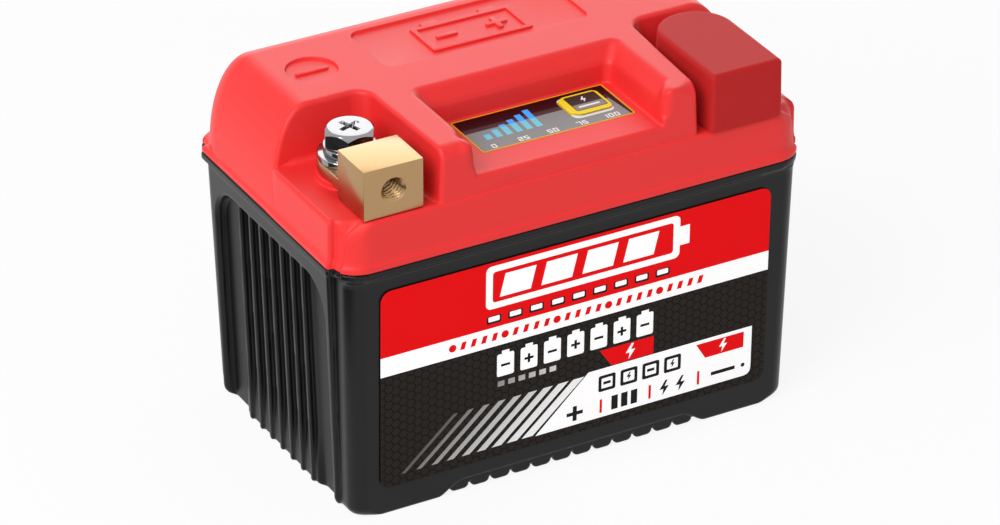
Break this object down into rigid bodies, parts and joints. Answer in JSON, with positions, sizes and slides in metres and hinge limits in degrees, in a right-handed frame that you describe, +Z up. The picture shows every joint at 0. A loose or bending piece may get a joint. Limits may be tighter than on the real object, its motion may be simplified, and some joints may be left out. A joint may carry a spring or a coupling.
{
  "type": "motorcycle battery",
  "caption": "Compact ribbed motorcycle battery with screw-on block terminals, a charge gauge with test key and a lift-off cap over the positive terminal.",
  "frame": {"origin": "centre of the part's footprint, on the surface that it stands on", "axes": "+X along the length towards the positive terminal, -Y out of the label, +Z up"},
  "size_m": [0.113, 0.07, 0.085],
  "materials": {
    "case_black": "moulded ABS, fine even texture",
    "cover_red": "moulded ABS, fine even texture",
    "cap_red": "moulded soft polypropylene",
    "seal_rubber": "moulded rubber",
    "label_film": "printed polyester film",
    "gauge_film": "printed polycarbonate film",
    "light_guide": "clear acrylic bars",
    "circuit_board": "glass fibre board with green mask",
    "led_resin": "cast resin",
    "key_plastic": "printed key",
    "chip_black": "moulded epoxy",
    "zinc_steel": "zinc plated",
    "plug_nylon": "moulded nylon",
    "brass": "machined, unplated",
    "chrome_steel": "bright nickel plated",
    "cell_can": "drawn can",
    "sleeve_blue": "shrink sleeve",
    "insulator_card": "fibre card",
    "holder_black": "moulded ABS",
    "copper": "copper strip, tinned at the welds",
    "lead_black": "silicone insulation",
    "lead_red": "silicone insulation",
    "wire_yellow": "silicone insulation",
    "ribbon_grey": "ribbon insulation",
    "foam_grey": "closed cell foam sheet"
  },
  "bodies": {
    "battery": {"case_base": "case_black", "case_cover": "cover_red", "cover_seal": "seal_rubber", "front_label": "label_film", "gauge_film": "gauge_film", "gauge_light_bars": "light_guide", "gauge_board": "circuit_board", "gauge_leds": "led_resin", "test_switch": "chip_black", "gauge_board_screws": "zinc_steel", "gauge_plug": "plug_nylon", "neg_terminal_block": "brass", "pos_terminal_block": "brass", "neg_insert": "brass", "pos_insert": "brass", "cell_1": "cell_can", "cell_2": "cell_can", "cell_3": "cell_can", "cell_4": "cell_can", "cell_sleeves": "sleeve_blue", "cell_insulators": "insulator_card", "cell_holder_left": "holder_black", "cell_holder_right": "holder_black", "strap_1_2": "copper", "strap_2_3": "copper", "strap_3_4": "copper", "neg_tab": "copper", "pos_tab": "copper", "neg_lead": "lead_black", "pos_lead": "lead_red", "neg_lug": "copper", "pos_lug": "copper", "lead_screws": "zinc_steel", "balance_board": "circuit_board", "balance_board_screws": "zinc_steel", "balance_resistors": "chip_black", "balance_transistors": "chip_black", "balance_controller": "chip_black", "balance_plug": "plug_nylon", "balance_wires": "wire_yellow", "gauge_ribbon": "ribbon_grey", "foam_bottom": "foam_grey", "foam_front": "foam_grey", "foam_back": "foam_grey", "foam_left": "foam_grey", "foam_right": "foam_grey"},
    "test_key": {"test_key": "key_plastic"},
    "neg_washers": {"neg_flat_washer": "chrome_steel", "neg_spring_washer": "chrome_steel"},
    "neg_screw": {"neg_terminal_screw": "chrome_steel"},
    "pos_washers": {"pos_flat_washer": "chrome_steel", "pos_spring_washer": "chrome_steel"},
    "pos_screw": {"pos_terminal_screw": "chrome_steel"},
    "positive_cap": {"pos_terminal_cap": "cap_red"}
  },
  "joints": [
    {"name": "test_key_press", "type": "slide", "parent": "battery", "child": "test_key", "axis": [0, 0, -1], "range_m": [0, 0.0004], "stiffness_N_per_m": 1500, "springref_m": -0.0005},
    {"name": "negative_screw_lift", "type": "slide", "parent": "battery", "child": "neg_washers", "axis": [0, 0, 1], "range_m": [0, 0.01]},
    {"name": "negative_screw_turn", "type": "hinge", "parent": "neg_washers", "child": "neg_screw", "pos_m": [-0.0429, -0.0139, 0.079], "axis": [0, 0, 1], "range_deg": [0, 3600]},
    {"name": "positive_screw_lift", "type": "slide", "parent": "battery", "child": "pos_washers", "axis": [0, 0, 1], "range_m": [0, 0.01]},
    {"name": "positive_screw_turn", "type": "hinge", "parent": "pos_washers", "child": "pos_screw", "pos_m": [0.0408, -0.0139, 0.079], "axis": [0, 0, 1], "range_deg": [0, 3600]},
    {"name": "positive_cap_lift", "type": "slide", "parent": "pos_washers", "child": "positive_cap", "axis": [0, 0, 1], "range_m": [0, 0.02]}
  ],
  "couplings": [
    {"joint": "negative_screw_turn", "follows": "negative_screw_lift", "rad_per_m": 6283.2},
    {"joint": "positive_screw_turn", "follows": "positive_screw_lift", "rad_per_m": 6283.2}
  ]
}
